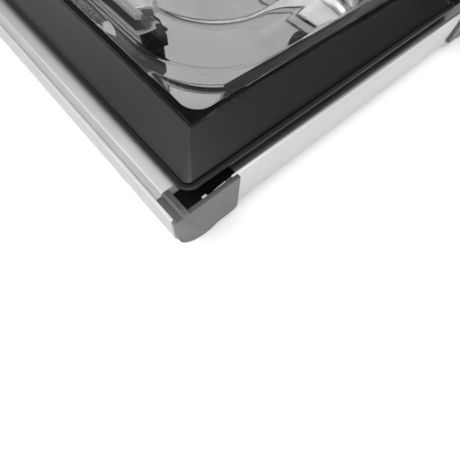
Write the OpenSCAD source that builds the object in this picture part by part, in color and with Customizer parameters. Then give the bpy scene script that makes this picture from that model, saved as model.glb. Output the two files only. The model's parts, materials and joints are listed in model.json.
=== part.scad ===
// Slim tabletop chamber vacuum sealer: low base between two extruded rails,
// polished tray, hinged framed lid with a clear dome, pump bay at the back.
// Millimetres, +Z up, front towards -Y, origin at the centre of the footprint.

/* [Base] */
// Width over the end caps
body_w = 420; // [400:1:460]
// Depth over the two rails
body_d = 385.2; // [380:0.2:400]
// Gap under the base pan, which is the height of a foot
foot_h = 7.5; // [6:0.5:10]
// Height of the rails' flat top above the table
rail_top = 47.5; // [46:0.5:48]

/* [Tray] */
// Width of the chamber opening
tray_w = 320; // [300:1:324]
// Depth of the chamber opening, front to back
tray_d = 214; // [200:1:216]
// Corner radius of the chamber
tray_r = 58; // [50:1:60]
// Height of the tray's inner floor
tray_floor = 20; // [18:1:24]

/* [Lid] */
// Height of the dome above the window flange
dome_h = 25; // [18:1:28]

/* [Controls] */
// Slope of the control console, degrees
console_tilt = 10; // [8:1:12]
// Radius of a push button
button_r = 7; // [5:0.5:7.5]

/* [Hidden] */
$fn = 64;

e = 0.01;                       // overlap that keeps a cut clean
half_w = body_w / 2;
half_d = body_d / 2;

// Rails: an outer rounded nose, a groove, a step and a flat top
nose_r = 20;
nose_z = 25.5;
rail_d = 22.6;
rail_in = half_d - rail_d;      // rails' inner faces, front and back
rail_end = half_w - 3;          // rails and panels stop behind the cap flanges
rail_wall = 2;
groove_at = half_d - 2.6;
ledge_z = 44.5;
ledge_r = 2.4;
step_at = half_d - 6.2;
step_r = 2;

// End caps
cap_t = 3;                      // thickness of a cap's flange
cap_len = 18.7;                 // how far a cap's top insert reaches along the rail
cap_edge = half_d - 1.3;        // outer edge of a flange
cap_in = rail_in - 26;          // inner edge of a flange
cap_nose_z = 24.2;
cap_top = 44.8;
cap_bottom = 6.8;
cap_top_r = 1.5;                // rounding of the flange's upper and lower inner corners
cap_toe_r = 4;
tab_y = [-166, -152];           // snap tabs
tab_w = 4;
tab_z = cap_top - 5;
tab_gap = 0.3;
rib_pitch = 1.1;
plug_gap = 0.3;
plug_z = 12;
insert_in = half_d - 10.8;      // inner side of the top insert
notch_z = 38;                   // floor of the rail's notch
notch_x = half_w - cap_len;

// Side panels, base pan and deck
panel_t = 2;
panel_top = 44;
pan_t = 1.5;
pan_top = foot_h + pan_t;
deck_z = 38;
deck_t = 2;
deck_top = deck_z + deck_t;
bay_y = 133.5;                  // front of the pump bay
bay_depth = 34.5;
bay_w = 368;

// Lid: s is measured inwards from the lid's outer edge
lid_w = body_w - 15;
lid_front = half_d - 14.6;      // lid's front edge is at -lid_front
lid_back = 118;
lid_d = lid_front + lid_back;
lid_y = (lid_back - lid_front) / 2;
lid_bottom = rail_top + 1.9;
lid_r = 8;
// hollow under the bevel in three steps, each [s, ceiling]
lid_steps = [[8, 52.4], [13, 56.3], [18, 60.2]];
boss_w = 18;                    // bosses at the back that carry the hinge arms
boss_d = 12;
boss_top = 63;
lip_top = lid_bottom + 2.4;
bevel_top = lid_bottom + 17.9;
s_groove = 2.6;
s_bevel = 4;
s_ridge = 23;
s_ledge = 26;
s_window = 32;
s_dome = 43;
ledge_drop = 1.4;
window_top = lid_bottom + 12.8;
seat_z = window_top - 0.6;      // frame's edge beside the window
flange_t = 4;
window_r = 13;
ring_bottom = 55;
s_seal = 23;                    // gasket, in a channel of the clamp ring
seal_w = 6;
seal_r = 15;
channel_d = 1.6;
side_half = 84;                 // half length of the ring's wider sides
dome_t = 4;
dome_inset = 8;
dome_r = 60;
magnet_x = -lid_w / 2 + 13;     // lid magnet over the reed switch
magnet_y = lid_y + 60;

// Tray rim and deck collar
rim_top = 52;
sheet = 1.2;
rim_s = 20;
rim_r = 14;
tray_y = lid_y;

// Seal bar and its lift
bar_y = -half_d + 78.6;         // middle of the bar
bar_len = 160;
bar_w = 16;
block_y = bar_y + 6.4;          // guide blocks stand a little behind the bar
bar_z = 45;
bar_h = 8;
bar_top = bar_z + bar_h;
bar_travel = 6;
post_x = 47;
post_r = 3;
slide_gap = 0.05;               // running clearance round a post, pin or shaft
clamp_len = 9;                  // end clamp along the bar
tape_half = 6.5;
strip_half = 2.5;
strip_t = 0.4;
tape_t = 0.7;
guide_top = bar_z - 0.5;
strip_bottom = 62;
press_len = bar_len + 4;

// Hinges
hinge_y = 124;
hinge_z = 68;
hinge_x = 120;
pin_r = 2;
knuckle_r = 5;
knuckle_w = 14;
ear_t = 5;
arm_t = 3.5;

// Rear housing and console
house_w = 372;
house_front = 131;
house_back = half_d - 8.6;
house_top = 72;                 // height at the housing's front edge
wall = 2.5;
skirt_top = rail_top + 1;
house_rise = (house_back - house_front) * tan(console_tilt);
slope_len = (house_back - house_front) / cos(console_tilt);
button_x = [60, 88, 116, 144];
button_row = slope_len / 2;
button_clear = 0.4;
lamp_up = 13;                   // lamp above its button, along the slope
lamp_r = 1.5;
display_x = -30;
display_w = 68;
display_d = 16;
board_z = -11;

// Pump, valve and fan
motor_y = 151;
motor_z = 32;
motor_r = 17.5;
motor_x0 = -72;
motor_x1 = 4;
shaft_r = 2.5;
crank_x0 = 6;
crank_x1 = 42;
rod_x0 = 24;                    // middle of the pump rod
crank_half = 17;
crank_top = 54;
head_h = 7;
throw = 1.5;
port_y = -22;
port_z = 40;
port_r = 8;
port_neck = 6;
port_reach = 22;                // how far the strainer reaches into the chamber
hose_r = 5;
hose_z = port_z - 12;
bend_r = 12;
valve_x = 80;
valve_y = 150;
fan_size = 28;
fan_y = 150;
fan_z = 9.5 + fan_size / 2;
fan_x = -half_w + 7;
inlet_y = 62;
inlet_z = 25;

// ---------- shared shapes ----------

// Rounded rectangle, centred
module rounded(w, d, r) {
    for (x = [-1, 1], y = [-1, 1])
        translate([x * (w / 2 - r), y * (d / 2 - r)]) circle(r);
    square([w - 2 * r, d], center = true);
    square([w, d - 2 * r], center = true);
}

// Upright rounded plate from z0 to z1
module plate(w, d, r, z0, z1) {
    translate([0, 0, z0]) linear_extrude(z1 - z0) rounded(w, d, r);
}

// Box given by its lowest and highest corners
module box(a, b) {
    translate(a) cube(b - a);
}

// Child drawn in Y and Z, extruded along X
module along_x(x0, x1) {
    translate([x0, 0, 0]) rotate([90, 0, 90]) linear_extrude(x1 - x0) children();
}

// Cylinder along X
module rod_x(r, x0, x1, y, z) {
    translate([x0, y, z]) rotate([0, 90, 0]) cylinder(r = r, h = x1 - x0);
}

module mirrored_x() {
    children();
    mirror([1, 0, 0]) children();
}

module mirrored_y() {
    children();
    mirror([0, 1, 0]) children();
}

// Frame of the console: x along the housing, y up the slope, z out of its face
module on_console() {
    translate([0, house_front, house_top]) rotate([console_tilt, 0, 0]) children();
}

// ---------- rails, caps, panels ----------

// Step on top of a rail or of a cap's insert, drawn in Y and Z for the front side
module step_profile(inner) {
    base_z = ledge_z - 6;
    translate([-groove_at, base_z]) square([groove_at - inner, 6.5]);
    translate([-step_at + step_r, base_z]) square([step_at - step_r - inner, rail_top - base_z]);
    translate([-step_at, base_z]) square([step_at - inner, rail_top - base_z - step_r]);
    translate([-step_at + step_r, rail_top - step_r]) circle(step_r);
}

module rail_profile() {
    difference() {
        intersection() {
            union() {
                translate([-half_d + nose_r, nose_z]) circle(nose_r);
                translate([-half_d, nose_z]) square([30, ledge_z - 3 - nose_z]);
                translate([-half_d + ledge_r, ledge_z - ledge_r]) circle(ledge_r);
                translate([-half_d + ledge_r, nose_z]) square([30, ledge_z - nose_z]);
                step_profile(rail_in);
            }
            translate([-half_d - 1, 0]) square([half_d + 1 - rail_in, 60]);
        }
        // groove between the nose and the step
        translate([-groove_at - 0.1, ledge_z - 0.9]) square([0.7, 2]);
        // hollow core in two chambers
        intersection() {
            translate([-half_d + nose_r, nose_z]) circle(nose_r - rail_wall);
            translate([-half_d, 0]) square([half_d - rail_in - rail_wall, nose_z]);
        }
        translate([-half_d + rail_wall, nose_z + rail_wall])
            square([rail_d - 2 * rail_wall, notch_z - nose_z - 2 * rail_wall]);
    }
}

module rail() {
    difference() {
        along_x(-rail_end, rail_end) rail_profile();
        // notch for each cap's insert and for the open corner beside it
        mirrored_x() box([notch_x, -groove_at, notch_z], [rail_end + 1, -rail_in + 1, 60]);
    }
}

module front_rail() {
    color("silver") rail();
}

module rear_rail() {
    color("silver") mirror([0, 1, 0]) rail();
}

module cap_profile() {
    difference() {
        union() {
            translate([-cap_edge + nose_r, cap_nose_z]) circle(nose_r);
            translate([-cap_edge, cap_nose_z])
                square([cap_edge - cap_in, cap_top - cap_top_r - cap_nose_z]);
            translate([-cap_edge + cap_top_r, cap_top - cap_top_r]) circle(cap_top_r);
            translate([-cap_edge + cap_top_r, cap_nose_z])
                square([cap_edge - cap_in - cap_top_r, cap_top - cap_nose_z]);
            translate([-cap_edge + nose_r, cap_bottom + cap_toe_r])
                square([cap_edge - nose_r - cap_in, cap_nose_z - cap_bottom - cap_toe_r + e]);
            translate([-cap_edge + nose_r, cap_bottom])
                square([cap_edge - nose_r - cap_in - cap_toe_r, cap_toe_r + e]);
            translate([-cap_in - cap_toe_r, cap_bottom + cap_toe_r]) circle(cap_toe_r);
            step_profile(insert_in);
        }
        translate([-cap_in, 0]) square([40, 60]);
    }
}

// Cap at the front right corner
module end_cap() {
    along_x(half_w - cap_t, half_w) cap_profile();
    // top insert, flush with the rail, with fine ribs along it
    difference() {
        along_x(notch_x + 0.3, half_w - cap_t + e)
            intersection() {
                step_profile(insert_in);
                translate([-groove_at + 0.1, notch_z + 0.1]) square([20, 20]);
            }
        for (i = [0 : 2])
            translate([notch_x - 1, -step_at + 1.6 + i * rib_pitch, rail_top - 0.35])
                cube([half_w - cap_t - 1 - notch_x, 0.5, 1.35]);
    }
    // plug inside the rail's lower chamber
    along_x(rail_end - 14, half_w - cap_t + e)
        intersection() {
            translate([-half_d + nose_r, nose_z]) circle(nose_r - rail_wall - plug_gap);
            translate([-half_d, plug_z])
                square([rail_d - rail_wall - plug_gap, nose_z - plug_z - plug_gap]);
        }
    // snap tabs on the flange's inner side
    for (y = tab_y)
        translate([half_w - cap_t - 1.4, y, tab_z]) cube([1.4 + e, tab_w, 4]);
}

module cap_front_right() {
    color("dimgray") end_cap();
}

module cap_front_left() {
    color("dimgray") mirror([1, 0, 0]) end_cap();
}

module cap_rear_right() {
    color("dimgray") mirror([0, 1, 0]) end_cap();
}

module cap_rear_left() {
    color("dimgray") mirror([0, 1, 0]) mirror([1, 0, 0]) end_cap();
}

// Side panel with a return along its top and bottom edges
module side_panel() {
    difference() {
        union() {
            box([rail_end - panel_t, -rail_in, foot_h], [rail_end, rail_in, panel_top]);
            box([rail_end - 9, -cap_in, panel_top - 1.5], [rail_end, cap_in, panel_top]);
        }
        // pockets for the caps' snap tabs
        mirrored_y() for (y = tab_y)
            translate([rail_end - 1.6, y - tab_gap, tab_z - tab_gap])
                cube([3, tab_w + 2 * tab_gap, 8]);
    }
}

module right_panel() {
    color("gainsboro") side_panel();
}

module left_panel() {
    color("gainsboro") difference() {
        mirror([1, 0, 0]) side_panel();
        // cut-out for the mains inlet
        translate([-rail_end, inlet_y, inlet_z]) cube([8, 28, 21], center = true);
        // slots in front of the fan
        for (i = [0 : 4])
            translate([-rail_end - 1, fan_y - 11, 13.2 + i * 4.6]) cube([5, 22, 2.4]);
    }
}

module base_pan() {
    inside = rail_end - panel_t;
    color("lightgray") difference() {
        union() {
            box([-inside, -rail_in, foot_h], [inside, rail_in, pan_top]);
            mirrored_y() box([-inside, -rail_in, foot_h], [inside, -rail_in + pan_t, foot_h + 14]);
        }
        // vent slots in front of the pump bay
        for (i = [0 : 7])
            translate([-60 + i * 12, 96, foot_h - 1]) cube([4, 32, 4]);
    }
}

module foot(x, y) {
    color([0.08, 0.08, 0.08]) translate([x, y, 0]) difference() {
        cylinder(r1 = 11, r2 = 12.5, h = foot_h);
        translate([0, 0, -e]) cylinder(r = 4, h = 3.5);
    }
}

foot_x = 172;
foot_y = 142;
module foot_front_right() foot(foot_x, -foot_y);
module foot_front_left() foot(-foot_x, -foot_y);
module foot_rear_right() foot(foot_x, foot_y);
module foot_rear_left() foot(-foot_x, foot_y);

// ---------- deck and tray ----------

module deck() {
    inside = rail_end - panel_t;
    collar_w = lid_w - 2 * rim_s - 4;
    collar_d = lid_d - 2 * rim_s - 4;
    color([0.06, 0.06, 0.06]) difference() {
        union() {
            box([-inside, -rail_in, deck_z], [inside, rail_in, deck_top]);
            // tongues that floor the open corners beside the caps
            mirrored_x() mirrored_y()
                box([notch_x + 0.3, -insert_in + 0.2, deck_z], [inside, -rail_in + 1, deck_top]);
            translate([0, tray_y, 0]) plate(collar_w, collar_d, rim_r - 2, deck_z, rim_top - sheet);
        }
        translate([0, tray_y, 0]) {
            plate(collar_w - 6, collar_d - 6, rim_r - 5, deck_top, rim_top);
            plate(tray_w + 2 * sheet + 1, tray_d + 2 * sheet + 1, tray_r + sheet, deck_z - 1, rim_top);
        }
        // pump bay
        box([-bay_w / 2, bay_y, deck_z - 1], [bay_w / 2, bay_y + bay_depth, rim_top]);
    }
}

// Outline of the chamber's opening, grown by g
module chamber_outline(g) {
    rounded(tray_w + 2 * g, tray_d + 2 * g, tray_r + g);
}

// Inside of the chamber, grown by g
module chamber(g) {
    hull() {
        translate([0, 0, tray_floor + 12])
            linear_extrude(rim_top - tray_floor - 12 + (g > 0 ? -sheet : 1)) chamber_outline(g);
        translate([0, 0, tray_floor + 4 - g / 2]) linear_extrude(1) chamber_outline(g - 4);
        translate([0, 0, tray_floor - g]) linear_extrude(1) chamber_outline(g - 11);
    }
}

module tray() {
    color("lightsteelblue") difference() {
        union() {
            translate([0, tray_y, 0])
                plate(lid_w - 2 * rim_s, lid_d - 2 * rim_s, rim_r, rim_top - sheet, rim_top);
            translate([0, tray_y, 0]) chamber(sheet);
        }
        translate([0, tray_y, 0]) chamber(0);
        for (x = [-post_x, post_x])
            translate([x, bar_y, tray_floor - 5]) cylinder(r = post_r + 1.2, h = 10);
        rod_x(port_neck, tray_w / 2 - 2, tray_w / 2 + 4, port_y, port_z);
    }
}

// ---------- seal bar ----------

module guide_blocks() {
    color([0.05, 0.05, 0.05]) for (x = [-post_x, post_x])
        difference() {
            translate([x, block_y, 0]) plate(34, 26, 4, tray_floor, guide_top);
            translate([x, bar_y, tray_floor - 1]) cylinder(r = post_r + slide_gap, h = 40);
        }
}

module lift_cylinders() {
    color("gray") for (x = [-post_x, post_x])
        translate([x, bar_y, pan_top]) difference() {
            cylinder(r = 11, h = 9.5);
            translate([0, 0, 2]) cylinder(r = post_r + slide_gap, h = 10);
        }
}

module lift_posts() {
    color("silver") for (x = [-post_x, post_x])
        translate([x, bar_y, pan_top + 3]) cylinder(r = post_r, h = bar_z - pan_top - 3);
}

module seal_bar() {
    color("silver") difference() {
        translate([-bar_len / 2, bar_y - bar_w / 2, bar_z]) cube([bar_len, bar_w, bar_h]);
        // long grooves in the extrusion's sides
        for (s = [-1, 1])
            translate([0, bar_y + s * bar_w / 2, bar_z + 3])
                cube([bar_len + 1, 2.4, 1.6], center = true);
    }
}

module heating_strip() {
    color("goldenrod")
        translate([-bar_len / 2 + 2, bar_y - strip_half, bar_top])
            cube([bar_len - 4, 2 * strip_half, strip_t]);
}

module sealing_tape() {
    color("tan") difference() {
        translate([-bar_len / 2 + 4, bar_y - tape_half, bar_top])
            cube([bar_len - 8, 2 * tape_half, tape_t]);
        box([-bar_len, bar_y - strip_half, bar_top - 1], [bar_len, bar_y + strip_half, bar_top + strip_t]);
    }
}

module bar_end_clamps() {
    color([0.06, 0.06, 0.06]) mirrored_x()
        translate([bar_len / 2, bar_y, bar_z - 1]) difference() {
            translate([0, -bar_w / 2, 0]) cube([clamp_len, bar_w, bar_h + 1]);
            translate([clamp_len / 2, 0, bar_h - 1]) cylinder(r = 2.6, h = 5);
        }
}

// ---------- lid ----------

// Outline from its right half: the same points again on the left, in reverse
module both_sides(right) {
    last = len(right) - 1;
    polygon(concat(right, [for (i = [last : -1 : 0]) [-right[i].x, right[i].y]]));
}

// Upright wedge over the lid's width or depth: height at the edge is lip_top,
// rising to bevel_top at s_ridge
module lid_roof(span) {
    half = span / 2;
    both_sides([[half + 1, 0], [half + 1, lip_top], [half - s_bevel, lip_top], [half - s_ridge, bevel_top]]);
}

// Recess inside the ridge, drawn the same way
module lid_well(span) {
    half = span / 2;
    both_sides([[half - s_window, 0], [half - s_window, seat_z], [half - s_ledge, bevel_top - ledge_drop],
        [half - s_ridge, bevel_top + e], [half - s_ridge, bevel_top + 5]]);
}

// Plate that follows the lid's edge, s inside it
module lid_plate(s, r, z0, z1) {
    plate(lid_w - 2 * s, lid_d - 2 * s, r, z0, z1);
}

// Shape with one outline across the width and one across the depth
module crossed(over) {
    intersection() {
        rotate([90, 0, 0]) linear_extrude(lid_d + 20, center = true) children(0);
        rotate([90, 0, 90]) linear_extrude(lid_w + 20, center = true) children(1);
    }
}

module lid_frame() {
    color([0.12, 0.12, 0.12]) translate([0, lid_y, 0]) difference() {
        intersection() {
            lid_plate(0, lid_r, lid_bottom, bevel_top + 1);
            union() {
                crossed() {
                    lid_roof(lid_w);
                    lid_roof(lid_d);
                }
                mirrored_x() translate([hinge_x - boss_w / 2, lid_d / 2 - boss_d, lid_bottom])
                    cube([boss_w, boss_d + 1, boss_top - lid_bottom]);
            }
        }
        // groove between the lip and the bevel
        difference() {
            lid_plate(s_groove, lid_r - s_groove, lip_top - 1.3, lip_top + 0.1);
            lid_plate(s_bevel, lid_r - s_bevel, lip_top - 2, lip_top + 1);
        }
        intersection() {
            crossed() {
                lid_well(lid_w);
                lid_well(lid_d);
            }
            lid_plate(s_ridge - 0.5, 1, seat_z, bevel_top + 6);
        }
        // opening around the window's raised part
        lid_plate(s_window, window_r + 0.2, lid_bottom - 1, bevel_top + 2);
        for (v = lid_steps)
            lid_plate(v[0], 3, lid_bottom - 1, v[1]);
    }
}

// Solid between levels, each [s, corner radius, lowest z, highest z]
module lid_loft(levels) {
    hull() for (v = levels)
        lid_plate(v[0], v[1], v[2], v[3]);
}

// Clear window: a clamped flange, a raised plate and the dome
module window() {
    top = window_top + dome_h;
    under = window_top - flange_t;
    brow_s = s_dome + dome_inset / 2;      // dome's side where the rounded brow begins
    brow_r = dome_r - dome_inset / 2;
    color([0.8, 0.85, 0.9, 0.35]) translate([0, lid_y, 0]) difference() {
        union() {
            lid_plate(s_window - 4, window_r + 4, under, window_top - flange_t / 2 - 0.1);
            lid_plate(s_window + 0.3, window_r, under, window_top);
            lid_loft([
                [s_dome, dome_r, window_top - 1, window_top],
                [brow_s, brow_r, top - 9, top - 8],
                [brow_s + 2, brow_r - 2, top - 4, top - 3],
                [brow_s + 8, brow_r - 8, top - 1, top]]);
        }
        lid_loft([
            [s_dome + dome_t, dome_r - dome_t, under - 1, window_top - 1],
            [brow_s + dome_t, brow_r - dome_t, top - 11, top - 10],
            [brow_s + 12, brow_r - 12, top - dome_t - 1, top - dome_t]]);
    }
}

// Ring that clamps the window's flange against the frame
module clamp_ring() {
    color([0.1, 0.1, 0.1]) translate([0, lid_y, 0]) difference() {
        lid_plate(rim_s, rim_r, ring_bottom, window_top - flange_t);
        difference() {
            lid_plate(s_window - 1, window_r + 1, ring_bottom - 1, window_top);
            // the ring is wider along the lid's two sides
            mirrored_x() translate([lid_w / 2 - s_dome, -side_half, ring_bottom - 2])
                cube([s_dome - s_window + 2, 2 * side_half, 20]);
        }
        // channel for the gasket
        difference() {
            lid_plate(s_seal, seal_r, ring_bottom - 1, ring_bottom + channel_d);
            lid_plate(s_seal + seal_w, seal_r - 1, ring_bottom - 2, ring_bottom + 3);
        }
    }
}

module lid_gasket() {
    color([0.04, 0.04, 0.04]) translate([0, lid_y, 0]) difference() {
        union() {
            lid_plate(s_seal, seal_r, ring_bottom - 0.6, ring_bottom + channel_d);
            lid_plate(s_seal + 1, seal_r - 0.5, rim_top + 0.3, ring_bottom);
        }
        lid_plate(s_seal + seal_w, seal_r - 1, rim_top - 1, ring_bottom + 3);
    }
}

module press_holder() {
    color("silver") {
        difference() {
            translate([-press_len / 2, bar_y - 8, strip_bottom + 2]) cube([press_len, 16, 6]);
            box([-bar_len, bar_y - 5, strip_bottom + 1], [bar_len, bar_y + 5, strip_bottom + 6]);
        }
        for (x = [-post_x, post_x])
            translate([x, bar_y, strip_bottom + 7])
                cylinder(r = 4.5, h = window_top + dome_h - dome_t - strip_bottom - 7);
    }
}

module press_strip() {
    color([0.2, 0.2, 0.2])
        translate([-press_len / 2, bar_y - 5, strip_bottom]) cube([press_len, 10, 6]);
}

module lid_magnet() {
    color("darkgray") translate([magnet_x, magnet_y, lid_bottom + 0.2]) cylinder(r = 4, h = 2.8);
}

// ---------- hinges ----------

module hinge_arms() {
    color([0.15, 0.15, 0.15]) mirrored_x() difference() {
        union() {
            rod_x(knuckle_r, hinge_x - knuckle_w / 2, hinge_x + knuckle_w / 2, hinge_y, hinge_z);
            translate([hinge_x - knuckle_w / 2, lid_back, lid_bottom + 0.6])
                cube([knuckle_w, arm_t, hinge_z - lid_bottom - 0.6]);
        }
        rod_x(pin_r + slide_gap, hinge_x - 20, hinge_x + 20, hinge_y, hinge_z);
    }
}

module hinge_brackets() {
    color([0.15, 0.15, 0.15]) mirrored_x() difference() {
        for (s = [-1, 1]) {
            x0 = hinge_x + s * (knuckle_w / 2 + 0.4 + ear_t / 2) - ear_t / 2;
            rod_x(knuckle_r, x0, x0 + ear_t, hinge_y, hinge_z);
            box([x0, hinge_y, hinge_z - knuckle_r], [x0 + ear_t, house_front, hinge_z + 3.5]);
        }
        rod_x(pin_r, hinge_x - 20, hinge_x + 20, hinge_y, hinge_z);
    }
}

module hinge_pins() {
    pin_half = knuckle_w / 2 + ear_t + 1;
    color("silver") mirrored_x()
        rod_x(pin_r, hinge_x - pin_half, hinge_x + pin_half, hinge_y, hinge_z);
}

// ---------- rear housing and console ----------

// Section of the housing, shrunk by a wall of t and then open below
module housing_profile(t) {
    low = rail_top + 0.2 - (t > 0 ? 5 : 0);
    polygon([[house_front + t, low], [house_back - t, low],
        [house_back - t, house_top + house_rise - 1.2 * t], [house_front + t, house_top - t]]);
}

// Holes for the buttons, their lamps and a display of the given size
module console_holes(w, d) {
    for (x = button_x) {
        translate([x, button_row, -10]) cylinder(r = button_r + button_clear, h = 20);
        translate([x, button_row + lamp_up, -10]) cylinder(r = lamp_r + 0.1, h = 20);
    }
    translate([display_x, button_row, 0]) cube([w, d, 20], center = true);
}

module rear_housing() {
    color([0.1, 0.1, 0.1]) difference() {
        union() {
            along_x(-house_w / 2, house_w / 2) housing_profile(0);
            // skirt down to the deck in front and at the ends
            box([-house_w / 2, house_front, deck_top], [house_w / 2, house_front + wall, skirt_top]);
            mirrored_x() box([house_w / 2 - wall, house_front, deck_top], [house_w / 2, rail_in, skirt_top]);
        }
        along_x(-house_w / 2 + wall, house_w / 2 - wall) housing_profile(wall);
        on_console() console_holes(display_w + 4, display_d + 4);
        // louvres in the back wall
        for (i = [0 : 11])
            translate([-150 + i * 9, house_back - 5, 56]) cube([4, 10, 12]);
    }
}

module console_plate() {
    color([0.03, 0.03, 0.03]) on_console() difference() {
        translate([40, button_row, 0]) plate(248, 40, 5, 0, 1.2);
        console_holes(display_w, display_d);
    }
}

module display_lens() {
    color([0.1, 0.12, 0.15]) on_console() {
        translate([display_x, button_row, 0.3]) cube([display_w, display_d, 1.4], center = true);
        translate([display_x, button_row, -1.4]) cube([display_w + 3, display_d + 3, 2], center = true);
    }
}

module button(x) {
    on_console() translate([x, button_row, 0]) {
        translate([0, 0, -4]) cylinder(r = button_r, h = 6.4);
        translate([0, 0, -4.6]) cylinder(r = button_r + 1.8, h = 1.4);
    }
}

module button_power() {
    color("dimgray") button(button_x[0]);
}

module button_vacuum() {
    color("silver") button(button_x[1]);
}

module button_seal() {
    color("silver") button(button_x[2]);
}

module button_stop() {
    color("dimgray") button(button_x[3]);
}

module indicator_leds() {
    color("white") on_console() for (x = button_x)
        translate([x, button_row + lamp_up, -3]) cylinder(r = lamp_r, h = 4.4);
}

module control_board() {
    middle = (button_x[0] + button_x[3]) / 2;
    color("darkgreen") on_console() {
        translate([middle, button_row, board_z]) cube([130, 36, 1.6], center = true);
        for (x = button_x)
            translate([x, button_row, board_z + 0.8]) cylinder(r = 3, h = 3.4);
        translate([middle, button_row - 13, board_z + 2]) cube([40, 6, 2.5], center = true);
    }
}

module reed_switch() {
    color("gainsboro") translate([magnet_x - 6, magnet_y - 4, deck_z - 4]) cube([12, 8, 4]);
}

// ---------- pump, valve, fan, inlet ----------

module transformer() {
    color("slategray") {
        box([-160, 138, pan_top], [-112, 164, 50]);
        box([-154, 134, 18], [-118, 138, 44]);
        box([-154, 164, 18], [-118, 168, 44]);
    }
}

module motor() {
    color("gray") difference() {
        union() {
            rod_x(motor_r, motor_x0, motor_x1, motor_y, motor_z);
            rod_x(7, motor_x0 - 4, motor_x0, motor_y, motor_z);
        }
        rod_x(shaft_r + slide_gap, motor_x0 - 2, motor_x1 + 1, motor_y, motor_z);
    }
}

module motor_bracket() {
    color("lightgray") difference() {
        box([motor_x0 + 8, motor_y - crank_half, pan_top], [motor_x1 - 8, motor_y + crank_half, 24]);
        rod_x(motor_r, motor_x0, motor_x1, motor_y, motor_z);
    }
}

module motor_shaft() {
    color("silver") {
        rod_x(shaft_r, motor_x0, crank_x1 - 7, motor_y, motor_z);
        rod_x(6, rod_x0 - 5, rod_x0 + 5, motor_y, motor_z + throw);
    }
}

module pump_crankcase() {
    color("darkgray") difference() {
        box([crank_x0, motor_y - crank_half, pan_top], [crank_x1, motor_y + crank_half, crank_top]);
        box([crank_x0 + 5, motor_y - crank_half + 3, pan_top + 4],
            [crank_x1 - 5, motor_y + crank_half - 3, crank_top + 1]);
        rod_x(shaft_r + slide_gap, crank_x0 - 1, crank_x0 + 6, motor_y, motor_z);
    }
}

// Rod with an open yoke round the eccentric and a diaphragm disc on top
module pump_rod() {
    color("white") difference() {
        union() {
            translate([rod_x0 - 3, motor_y - 12, motor_z - 12]) cube([6, 24, 25]);
            translate([rod_x0, motor_y, motor_z + 12]) cylinder(r = 3, h = 7);
            translate([rod_x0, motor_y, motor_z + 18]) cylinder(r = 11, h = 2);
        }
        translate([rod_x0 - 8, motor_y - 8.5, motor_z - 9]) cube([16, 17, 19.5]);
    }
}

module pump_head() {
    color("gray") difference() {
        translate([crank_x0, motor_y - crank_half, crank_top])
            cube([crank_x1 + 5 - crank_x0, 2 * crank_half, head_h]);
        translate([rod_x0, motor_y, crank_top - 1]) cylinder(r = 6, h = 5);
    }
}

// Quarter bend of the hose round the point (x, y)
module hose_bend(x, y, turn) {
    translate([x, y, hose_z]) rotate(turn) rotate_extrude(angle = 90)
        translate([bend_r, 0]) circle(hose_r);
}

// Hose from the chamber's port along the right side into the pump bay
module vacuum_hose() {
    bend_x = tray_w / 2 + 12;
    color("whitesmoke") {
        rod_x(hose_r, tray_w / 2 + 8, bend_x, port_y, hose_z);
        hose_bend(bend_x, port_y + bend_r, -90);
        translate([bend_x + bend_r, port_y + bend_r, hose_z]) rotate([-90, 0, 0])
            cylinder(r = hose_r, h = motor_y - port_y - 2 * bend_r);
        hose_bend(bend_x, motor_y - bend_r, 0);
        rod_x(hose_r, valve_x + 18, bend_x, motor_y, hose_z);
    }
}

module suction_port() {
    box_x = tray_w / 2 + sheet + 0.4;
    color([0.07, 0.07, 0.07]) {
        // strainer cap inside the chamber
        difference() {
            union() {
                rod_x(port_r, tray_w / 2 - port_reach, tray_w / 2, port_y, port_z);
                rod_x(port_neck - 0.1, tray_w / 2 - 1, box_x, port_y, port_z);
            }
            for (a = [0 : 60 : 300])
                rod_x(1.2, tray_w / 2 - port_reach - 1, tray_w / 2 - port_reach + 5,
                    port_y + 4.5 * cos(a), port_z + 4.5 * sin(a));
        }
        // elbow box behind the wall
        box([box_x, port_y - 8, port_z - 19], [tray_w / 2 + 8, port_y + 8, port_z - 2.2]);
    }
}

module valve_body() {
    color("steelblue") difference() {
        translate([valve_x - 18, valve_y - 14, pan_top]) cube([36, 28, 40 - pan_top]);
        translate([valve_x, valve_y, pan_top + 6]) cylinder(r = 4 + slide_gap, h = 60);
    }
}

module valve_plunger() {
    color("silver") {
        translate([valve_x, valve_y, pan_top + 10]) cylinder(r = 4, h = 36);
        translate([valve_x, valve_y, pan_top + 42]) cylinder(r = 6, h = 4);
    }
}

module fan_frame() {
    color([0.08, 0.08, 0.08]) translate([fan_x, fan_y, fan_z]) rotate([0, 90, 0]) {
        difference() {
            linear_extrude(10) square(fan_size, center = true);
            translate([0, 0, -1]) cylinder(r = fan_size / 2 - 1.2, h = 12);
        }
        for (a = [45 : 90 : 315])
            rotate(a) translate([4, -0.8, 8.6]) cube([fan_size / 2 - 4.4, 1.6, 1.4]);
        translate([0, 0, 8.6]) cylinder(r = 5, h = 1.4);
        translate([0, 0, 3]) cylinder(r = 1.45, h = 6);
    }
}

module fan_wheel() {
    color("dimgray") translate([fan_x, fan_y, fan_z]) rotate([0, 90, 0]) difference() {
        union() {
            translate([0, 0, 1]) cylinder(r = 5, h = 7);
            for (a = [0 : 60 : 300])
                rotate(a) translate([7.9, 0, 4.5]) rotate([35, 0, 0])
                    cube([7.8, 1, 6], center = true);
        }
        translate([0, 0, 2.5]) cylinder(r = 1.5, h = 8);
    }
}

// Block of the inlet, from x0 to x1 inwards of the panel's outer face
module inlet_block(x0, x1, w, h) {
    translate([-rail_end + x0, inlet_y - w / 2, inlet_z - h / 2]) cube([x1 - x0, w, h]);
}

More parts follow.
